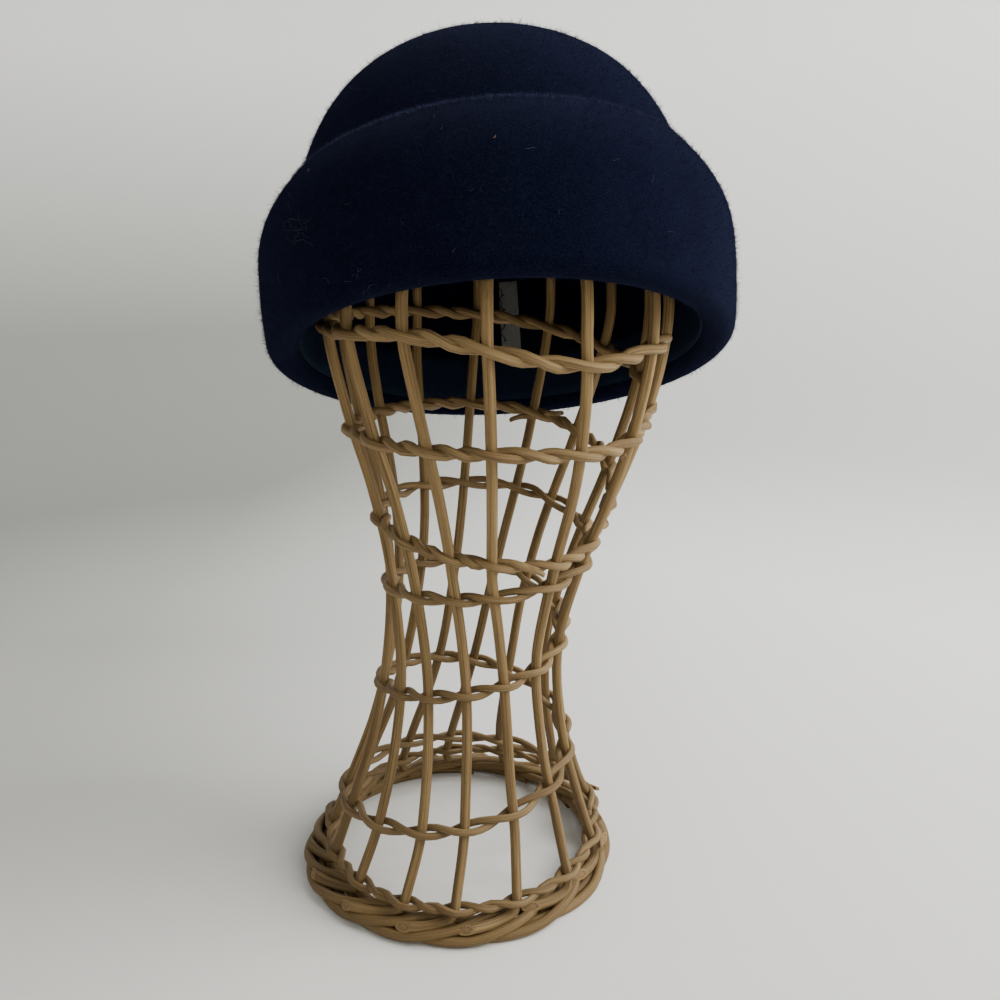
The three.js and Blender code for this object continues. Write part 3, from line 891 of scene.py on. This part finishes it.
# Hat
def hat_matrix():
    back, left, turn = (radians(angle) for angle in (HAT_LEAN.back, HAT_LEAN.left, HAT_LEAN.turn))
    tipped = Matrix.Rotation(-left, 4, "Y") @ Matrix.Rotation(-back, 4, "X")
    return Matrix.Translation(HAT_PLACE) @ (tipped @ Matrix.Rotation(turn, 4, "Z"))


HAT_MATRIX = hat_matrix()
MEAN_RADIUS = (HEAD_HALF_WIDTH + HEAD_HALF_LENGTH) / 2


def hat_point(share, out, up, angle):
    x = (HEAD_HALF_WIDTH * share + out) * sin(angle)
    y = -(HEAD_HALF_LENGTH * share + out) * cos(angle)
    return in_frame(HAT_MATRIX @ Vector((x, y, up)))


def crown_share(up):
    rise = max(0.0, (up - CROWN_SPRING) / (CROWN_HEIGHT - CROWN_SPRING))
    return (1 - rise ** CROWN_FULLNESS) ** (1 / CROWN_FULLNESS)


def crown_line(share):
    turn = pi / 2 * share
    around = sin(turn) ** (2 / CROWN_FULLNESS)
    rise = max(cos(turn), 0.0) ** (2 / CROWN_FULLNESS)
    return around, 0.0, CROWN_SPRING + (CROWN_HEIGHT - CROWN_SPRING) * rise


def roll_line(share):
    turn = pi * (1 + share)
    return 1.0, ROLL_RADIUS * (1 + cos(turn)), ROLL_RADIUS * (1 + sin(turn))


def cuff_edge(angle):
    """Height of the cuff's free edge: higher at the back, with a slight dip at the left front."""
    return CUFF_HEIGHT - CUFF_BACK_RISE * cos(angle) - swelling(CUFF_DIP, math.degrees(angle))


def cuff_line(share, angle):
    edge_up = cuff_edge(angle)
    edge_out = (crown_share(edge_up) - 1) * MEAN_RADIUS + FELT_THICKNESS + CUFF_EDGE_GAP
    is_below = share < CUFF_BULGE_SHARE
    end_out = 2 * ROLL_RADIUS if is_below else edge_out
    reach = CUFF_BULGE_SHARE if is_below else 1 - CUFF_BULGE_SHARE
    away = (CUFF_BULGE - end_out) * ((share - CUFF_BULGE_SHARE) / reach) ** 2
    below_edge = (1 - share) * (edge_up - ROLL_RADIUS)
    lip = CUFF_LIP.out * max(0.0, 1 - below_edge / CUFF_LIP.width) ** 2
    return 1.0, CUFF_BULGE - away + lip, edge_up - below_edge


# Rows of the felt sheet. Those of the crown and the cuff lie closer towards their ends
CROWN_ROWS = 26
CROWN_ROW_EASE = 1.5
WALL_ROWS = 2
ROLL_ROWS = 9
CUFF_ROWS = 20
CUFF_ROW_EASE = 1.5
FELT_ROWS = CROWN_ROWS + WALL_ROWS + ROLL_ROWS + CUFF_ROWS
FELT_SIDES = 112


def eased(share):
    """Share that changes slowly at both ends."""
    if share < 0.5:
        return (2 * share) ** CROWN_ROW_EASE / 2
    return 1 - (2 - 2 * share) ** CROWN_ROW_EASE / 2


def felt_line(row, angle):
    """Middle of the felt at a row: down the crown, round the roll, up the cuff."""
    if row <= CROWN_ROWS:
        return crown_line(eased(row / CROWN_ROWS))
    row -= CROWN_ROWS
    if row <= WALL_ROWS:
        share = row / WALL_ROWS
        return 1.0, 0.0, CROWN_SPRING + (ROLL_RADIUS - CROWN_SPRING) * share
    row -= WALL_ROWS
    if row <= ROLL_ROWS:
        return roll_line(row / ROLL_ROWS)
    from_edge = 1 - (row - ROLL_ROWS) / CUFF_ROWS
    return cuff_line(1 - from_edge ** CUFF_ROW_EASE, angle)


# Sheets: a flat grid is cut, then each of its points is laid in place
SEAM_WIDTH = 0.02


def shaped_sheet(columns, rows, place_of):
    """Grid with its points where place_of says, from their shares across and along it."""
    bpy.ops.mesh.primitive_grid_add(x_subdivisions=columns, y_subdivisions=rows, size=2)
    piece = bpy.context.object
    set_vertices(piece, [place_of((x + 1) / 2, (y + 1) / 2) for x, y, _ in vertex_array(piece)])
    return piece


def close_seams():
    """Sews up the sheet that was just made."""
    bpy.ops.object.mode_set(mode="EDIT")
    bpy.ops.mesh.select_all(action="SELECT")
    bpy.ops.mesh.remove_doubles(threshold=SEAM_WIDTH * MM)
    bpy.ops.mesh.normals_make_consistent(inside=False)
    bpy.ops.object.mode_set(mode="OBJECT")


def finish_cloth(piece, material, name, node):
    bpy.ops.object.shade_smooth()
    piece.data.materials.append(material)
    finish_piece(piece, name, node)


# Slow unevenness of the felt, noise scale and size, which fades out at the crown's middle
FELT_SWELLS = ((22, 0.35), (60, 0.12))
SWELL_FADE = 3


def height_at(table, share):
    return table.bottom + (table.top - table.bottom) * share


def felt_point(across, along):
    angle = 2 * pi * across
    share, out, up = felt_line(round(along * FELT_ROWS), angle)
    place = hat_point(share, out, up, angle)
    swell = sum(noise.noise(place * scale) * size for scale, size in FELT_SWELLS)
    return hat_point(share, out + swell * min(1, SWELL_FADE * share), up, angle)


def felt_hat():
    piece = shaped_sheet(FELT_SIDES, FELT_ROWS, felt_point)
    close_seams()
    apply_modifier(piece, "SOLIDIFY", thickness=FELT_THICKNESS * MM, offset=0.0, use_even_offset=True)
    apply_modifier(piece, "SUBSURF", levels=1, render_levels=1)
    finish_cloth(piece, NAVY_FELT, "felt_hat", "felt_body")
    return piece


def ribbon_point(across, along):
    angle = 2 * pi * across
    up = height_at(RIBBON, along)
    rib = RIBBON.rib_depth / 2 * cos(RIBBON.ribs * angle)
    spot = Vector((sin(angle), cos(angle), 0)) * RIBBON.waves
    lift = RIBBON.wave * noise.noise(spot) * along
    out = -FELT_THICKNESS / 2 - RIBBON.gap - RIBBON.thickness / 2 + rib
    return hat_point(1.0, out, up + lift, angle)


def ribbon_band():
    piece = shaped_sheet(RIBBON.ribs * RIBBON.steps_per_rib, RIBBON.rows, ribbon_point)
    close_seams()
    thickness = (RIBBON.thickness - RIBBON.rib_depth) * MM
    apply_modifier(piece, "SOLIDIFY", thickness=thickness, offset=0.0)
    finish_cloth(piece, NAVY_RIBBON, "ribbon_sweatband", "sweatband")


def label_point(across, up, inward):
    """Place on the label: across it from its middle, and up it, in millimetres."""
    angle = pi - (LABEL.aside + across) / HEAD_HALF_LENGTH
    out = -FELT_THICKNESS / 2 - LABEL.gap - LABEL.thickness / 2 - inward
    return hat_point(crown_share(up), out, up, angle)


# Label's slight ripple and the curl of its sides
RIPPLE = Sizes(lift=0.2, wave=0.125, along=3, across=2, curl=0.1)


def rippled_point(across, along):
    x = 2 * across - 1
    y = 2 * along - 1
    up = height_at(LABEL, along)
    wave = RIPPLE.wave * sin(RIPPLE.along * y + RIPPLE.across * x)
    return label_point(x * LABEL.width / 2, up, RIPPLE.lift + wave + RIPPLE.curl * x * x)


def bare_label():
    piece = shaped_sheet(LABEL.columns, LABEL.rows, rippled_point)
    apply_modifier(piece, "SOLIDIFY", thickness=LABEL.cloth * MM, offset=0.0)
    finish_cloth(piece, DARKENED_LABEL_CLOTH, "bare_label", "label")


# Nap: short straight fibres all over the outside, longer curved ones, and the frayed edge of the cuff,
# whose paler fibres are a painted highlight
# Stand: how far they stand off the felt; bias: high where most are short; straight: share before a bend
FIBRE_SINK = 0.15
NAP = Sizes(
    count=48000, shortest=0.7, longest=2.2, bias=1.5, radius=0.075,
    stand=(0.3, 2.0), straight=1, sink=FIBRE_SINK, seed=7,
)
FUZZ = Sizes(
    count=16000, shortest=1.2, longest=4.4, bias=2.5, radius=0.07,
    stand=(0.3, 1.9), straight=0.55, sink=FIBRE_SINK, seed=11,
)
EDGE_FUZZ = Sizes(
    count=26000, shortest=0.8, longest=2.6, bias=1.5, radius=0.06,
    stand=(0.5, 2.5), straight=1, sink=0, seed=13,
)
FIBRE_BEND = 0.55
BEND_RADIUS_SHARE = 0.85
# Cuff's edge: how far below it fibres grow, from where and how far across the felt, and how upright
EDGE = Sizes(reach=2.4, outer=0.45, width=0.9, rise=1.2)
CLEAR_OF_FELT = 250


def outer_felt(felt):
    """Corners, unit normals and areas of the triangles that face out of the hat."""
    felt.data.calc_loop_triangles()
    corners = np.empty(len(felt.data.loop_triangles) * 3, dtype=np.int32)
    felt.data.loop_triangles.foreach_get("vertices", corners)
    corners = vertex_array(felt)[corners].reshape(-1, 3, 3)
    normals = np.cross(corners[:, 1] - corners[:, 0], corners[:, 2] - corners[:, 0])
    sizes = np.linalg.norm(normals, axis=1)
    normals = unit(normals)
    starts = corners.mean(axis=1) + normals * (FIBRE_SINK * MM)
    tree = BVHTree.FromObject(felt, bpy.context.evaluated_depsgraph_get())
    is_outer = np.array([
        tree.ray_cast(Vector(start), Vector(normal), CLEAR_OF_FELT * MM)[0] is None
        for start, normal in zip(starts, normals)
    ])
    return corners[is_outer], normals[is_outer], sizes[is_outer] / 2


def spread_roots(surface, rng, count):
    """Random places on the felt's outside, and its normals there."""
    corners, normals, areas = surface
    chosen = rng.choice(len(areas), count, p=areas / areas.sum())
    shares = rng.dirichlet((1, 1, 1), count)
    return np.einsum("ij,ijk->ik", shares, corners[chosen]), normals[chosen]


def leaning(rng, normals, stand):
    """Directions that stand off the felt by a random share."""
    aside = unit(np.cross(normals, rng.normal(size=normals.shape)))
    return unit(normals * rng.uniform(*stand, len(normals))[:, None] + aside)


def fibre_ring(centres, directions, normals, reach):
    first = unit(np.cross(directions, normals))
    second = np.cross(directions, first)
    turns = [2 * pi * corner / 3 for corner in range(3)]
    return [centres + (first * cos(turn) + second * sin(turn)) * reach for turn in turns]


def fibre_faces(rings):
    """Faces of one fibre: its root, its sides and its tip."""
    faces = [(0, 2, 1)]
    last = 3 * (rings - 1)
    pairs = [(side, (side + 1) % 3) for side in range(3)]
    for low in range(0, last, 3):
        faces += [(low + side, low + after, low + 3 + after, low + 3 + side) for side, after in pairs]
    return faces + [(last + side, last + after, last + 3) for side, after in pairs]


def fibre_piece(name, rings, tips, material):
    places = np.stack((*(corner for ring in rings for corner in ring), tips), axis=1)
    count, size, _ = places.shape
    pattern = fibre_faces(len(rings))
    faces = [tuple(size * fibre + corner for corner in face) for fibre in range(count) for face in pattern]
    mesh = bpy.data.meshes.new(name)
    mesh.from_pydata(places.reshape(-1, 3).tolist(), [], faces)
    mesh.materials.append(material)
    piece = bpy.data.objects.new(name, mesh)
    bpy.context.scene.collection.objects.link(piece)
    finish_piece(piece, name)


def fibres(name, kind, material, rooted):
    """Tapering fibres of one kind. Rooted draws their roots and the felt's normals there."""
    rng = np.random.default_rng(kind.seed)
    roots, normals = rooted(rng, kind.count)
    lean = leaning(rng, normals, kind.stand)
    spread = (kind.longest - kind.shortest) * rng.random(kind.count) ** kind.bias
    length = ((kind.shortest + spread) * MM)[:, None]
    reach = kind.radius * MM
    rings = [fibre_ring(roots - normals * kind.sink * MM, lean, normals, reach)]
    tips = roots + lean * length * kind.straight
    if kind.straight < 1:
        rings.append(fibre_ring(tips, lean, normals, BEND_RADIUS_SHARE * reach))
        onward = unit(lean + FIBRE_BEND * rng.normal(size=lean.shape))
        tips = tips + onward * length * (1 - kind.straight)
    fibre_piece(name, rings, tips, material)


def edge_root(turn, drop):
    """Root and normal of a fibre at the cuff's edge: on top of it, or outside it if drop is over 0."""
    below = EDGE.reach * max(drop, 0.0) ** 2
    across = FELT_THICKNESS * (EDGE.outer + EDGE.width * min(drop, 0.0))
    share, out, up = cuff_line(1 - below / cuff_edge(turn), turn)
    normal = HAT_MATRIX.to_3x3() @ Vector((sin(turn), -cos(turn), EDGE.rise))
    return hat_point(share, out + across, up - FIBRE_SINK, turn), normal.normalized()


def edge_roots(rng, count):
    """Random places on top of the cuff's free edge and just below it on the outside, and normals."""
    turns = rng.uniform(0, 2 * pi, count)
    drops = rng.uniform(-1, 1, count)
    rooted = [edge_root(turn, drop) for turn, drop in zip(turns, drops)]
    return (np.array(column) for column in zip(*rooted))


# Lint caught on the felt: photo pixel, length in pixels, first direction and curl in degrees, radius
PHOTO_SIZE = 1000
PALE_FIBRES = (
    (290, 220, 62, 25, -420, 0.024),
    (304, 219, 44, -40, -290, 0.022),
    (287, 237, 30, -50, 230, 0.024),
    (295, 246, 26, 70, -150, 0.022),
    (299, 212, 24, -100, 170, 0.020),
    (309, 238, 18, 120, 130, 0.022),
    (291, 214, 12, 100, 60, 0.020),
    (357, 272, 6, 30, 60, 0.03),
    (344, 281, 8, -20, 50, 0.03),
    (362, 296, 24, 58, -55, 0.026),
    (353, 277, 10, 60, -200, 0.026),
    (358, 267, 10, -110, 60, 0.028),
    (388, 288, 7, 85, 20, 0.026),
    (329, 284, 9, 100, 40, 0.03),
    (281, 284, 12, 110, -60, 0.028),
    (349, 86, 14, -30, 60, 0.02),
    (453, 253, 6, 70, 40, 0.04),
    (403, 226, 5, 40, 90, 0.03),
    (293, 198, 7, 100, 30, 0.03),
    (405, 112, 5, -50, 70, 0.06),
    (441, 130, 4, 80, 20, 0.05),
    (434, 118, 3, 80, 10, 0.05),
    (526, 149, 9, 62, -50, 0.06),
    (667, 233, 10, 70, -110, 0.03),
    (653, 183, 9, 75, -40, 0.03),
    (612, 160, 8, 20, 80, 0.03),
    (560, 215, 6, 130, -60, 0.03),
    (470, 190, 5, 10, 50, 0.03),
    (345, 205, 6, 60, -80, 0.03),
)
TAN_FIBRES = (
    (493, 138, 4, 25, 60, 0.12),
    (308, 172, 3, 50, 30, 0.11),
)
LINT = Sizes(wiggle=110, wiggle_scale=0.21, step=1.2, fewest_steps=4, lift=0.18)


def on_felt(tree, camera, x, y):
    """Place on the felt under a pixel of the photo, lifted a little off it."""
    focal = PHOTO_SIZE * CAMERA.lens / CAMERA.sensor
    toward = Vector((x - PHOTO_SIZE / 2, PHOTO_SIZE / 2 - y, -focal))
    sight = (camera.rotation_euler.to_matrix() @ toward).normalized()
    hit, normal, _, _ = tree.ray_cast(camera.location, sight)
    return hit + normal * (LINT.lift * MM)


def lint_fibre(tree, camera, row, material):
    x, y, length, degrees, curl, radius = row
    points = []
    steps = max(LINT.fewest_steps, round(length / LINT.step))
    for step in range(steps + 1):
        points.append(on_felt(tree, camera, x, y))
        spot = (x * LINT.wiggle_scale, y * LINT.wiggle_scale, length)
        wiggle = LINT.wiggle * noise.noise(spot)
        turn = radians(degrees + curl * step / steps + wiggle)
        x += length / steps * cos(turn)
        y -= length / steps * sin(turn)
    return cane(points, radius * MM, material, sides=5)


def lint(felt, camera):
    tree = BVHTree.FromObject(felt, bpy.context.evaluated_depsgraph_get())
    pieces = [lint_fibre(tree, camera, row, PALE_LINT) for row in PALE_FIBRES]
    pieces += [lint_fibre(tree, camera, row, TAN_LINT) for row in TAN_FIBRES]
    finish_piece(joined(pieces), "caught_lint")


# Black thread that holds the label along its edge, in loose curls, and the stitch at its foot
THREAD = Sizes(
    radius=0.23, sides=6, bottom=36, top=70, aside=1.5, curls=4, steps=64,
    swing=1.1, kink=0.66, kink_pace=2.3, rise=1.2, lift=1.1, bob=0.4, bob_pace=1.7,
)
# Points of the stitch: across the label and up from its foot
STITCH = ((1.2, 1.5), (1.7, 1.3), (2.2, 1.1), (2.7, 0.9), (3.2, 0.7))
STITCH_LIFT = 0.9


def thread_point(share):
    turn = 2 * pi * THREAD.curls * share
    curl = THREAD.swing * sin(turn) + THREAD.kink * sin(THREAD.kink_pace * turn)
    up = height_at(THREAD, share) + THREAD.rise * cos(turn)
    lift = THREAD.lift + THREAD.bob * cos(THREAD.bob_pace * turn)
    return label_point(THREAD.aside - LABEL.width / 2 + curl, up, lift)


def label_thread():
    loop = [thread_point(step / THREAD.steps) for step in range(THREAD.steps + 1)]
    stitch = [label_point(across, LABEL.bottom + up, STITCH_LIFT) for across, up in STITCH]
    radius = THREAD.radius * MM
    pieces = [cane(path, radius, BLACK_THREAD, sides=THREAD.sides) for path in (loop, stitch)]
    finish_piece(joined(pieces), "label_thread")


# Camera, floor and light
CAMERA = Sizes(place=(0, -452, 299.3), down=14.5, lens=36, sensor=36, nearest=0.01)


def add_camera():
    bpy.ops.object.camera_add()
    camera = bpy.context.object
    camera.name = "camera"
    camera.location = in_frame(CAMERA.place)
    camera.rotation_euler = (radians(90 - CAMERA.down), 0, 0)
    camera.data.sensor_width = CAMERA.sensor
    camera.data.lens = CAMERA.lens
    camera.data.clip_start = CAMERA.nearest
    bpy.context.scene.camera = camera
    return camera


# Round sweep that the stand is set on: flat, then curving up to a wall
SWEEP = Sizes(flat=0.75, bend=0.65, top=1.5, sides=96, rows=40)


def sweep_line(share):
    """Distance from the middle and height along the sweep."""
    quarter = pi / 2 * SWEEP.bend
    wall = SWEEP.top - SWEEP.bend
    along = share * (SWEEP.flat + quarter + wall)
    if along < SWEEP.flat:
        return along, 0.0
    turn = min((along - SWEEP.flat) / SWEEP.bend, pi / 2)
    straight = max(along - SWEEP.flat - quarter, 0.0)
    return SWEEP.flat + SWEEP.bend * sin(turn), SWEEP.bend * (1 - cos(turn)) + straight


def sweep_point(across, along):
    turn = 2 * pi * across
    away, up = sweep_line(along)
    return away * sin(turn), -away * cos(turn), up


def floor_material():
    """Pale paper, with painted shade where it bends and a painted shadow to the left behind the part."""
    material, tree = new_material("pale_floor")
    place = object_place(tree)
    split = add_node(tree, "SeparateXYZ", Vector=place).outputs
    cloud = mottle(place, (3, 3, 3))
    paper = mix_color(cloud, (0.69, 0.685, 0.66, 1), (0.73, 0.725, 0.70, 1))
    # Painted shade on the bend and a painted shadow to the left behind the part, both fading up the wall
    bend = times(ramp(distance(place), 0.45, 0.95), 0.5)
    behind = times(ramp(split["Y"], -0.1, 0.25), 0.65)
    left_shadow = times(ramp(split["X"], 0.15, -0.3), behind)
    shade_fade = minus(1.0, ramp(split["Z"], 0.1, 0.6))
    painted_shade = times(plus(bend, left_shadow), shade_fade, clamp=True)
    color = mix_color(painted_shade, paper, (0.28, 0.28, 0.265, 1))
    return dress(material, color, Roughness=0.85, Specular_IOR_Level=0.1)


def add_floor():
    floor = shaped_sheet(SWEEP.sides, SWEEP.rows, sweep_point)
    close_seams()
    bpy.ops.object.shade_smooth()
    floor.name = "pale_floor"
    floor.data.materials.append(floor_material())


STUDIO_LIGHT = {"Color": (0.93, 0.96, 1.0, 1), "Strength": 0.32}
# Lamps: place, aim, width, power and colour
LAMPS = {
    "window_light": ((1.05, -0.12, 0.95), (0, 0, 0.2), 1.2, 35, (1.0, 0.985, 0.95)),
    "wall_light": ((0.95, 0.35, 1.35), (0.85, 1.15, 1.1), 0.5, 26, (0.95, 0.98, 1.0)),
}


def add_lamp(name, place, aim, width, power, color):
    bpy.ops.object.light_add(type="AREA", location=place)
    lamp = bpy.context.object
    lamp.name = name
    lamp.data.shape = "DISK"
    lamp.data.size = width
    lamp.data.energy = power
    lamp.data.color = color
    lamp.rotation_euler = (Vector(aim) - Vector(place)).to_track_quat("-Z", "Y").to_euler()


def add_light():
    world = bpy.data.worlds.new("studio")
    world.use_nodes = True
    bpy.context.scene.world = world
    for key, value in STUDIO_LIGHT.items():
        world.node_tree.nodes["Background"].inputs[key].default_value = value
    for name, lamp in LAMPS.items():
        add_lamp(name, *lamp)


# The whole scene
camera = add_camera()
add_floor()
add_light()
felt = felt_hat()
all_over = functools.partial(spread_roots, outer_felt(felt))
fibres("felt_nap", NAP, NAVY_FUZZ, all_over)
fibres("felt_fuzz", FUZZ, NAVY_FUZZ, all_over)
fibres("cuff_edge_fuzz", EDGE_FUZZ, HIGHLIGHT_NAVY_FUZZ, edge_roots)
lint(felt, camera)
ribbon_band()
bare_label()
label_thread()
stakes()
for turn_index in range(len(TURNS)):
    weave_turn(turn_index)
weaver_ends()
foot_border()
top_ring()
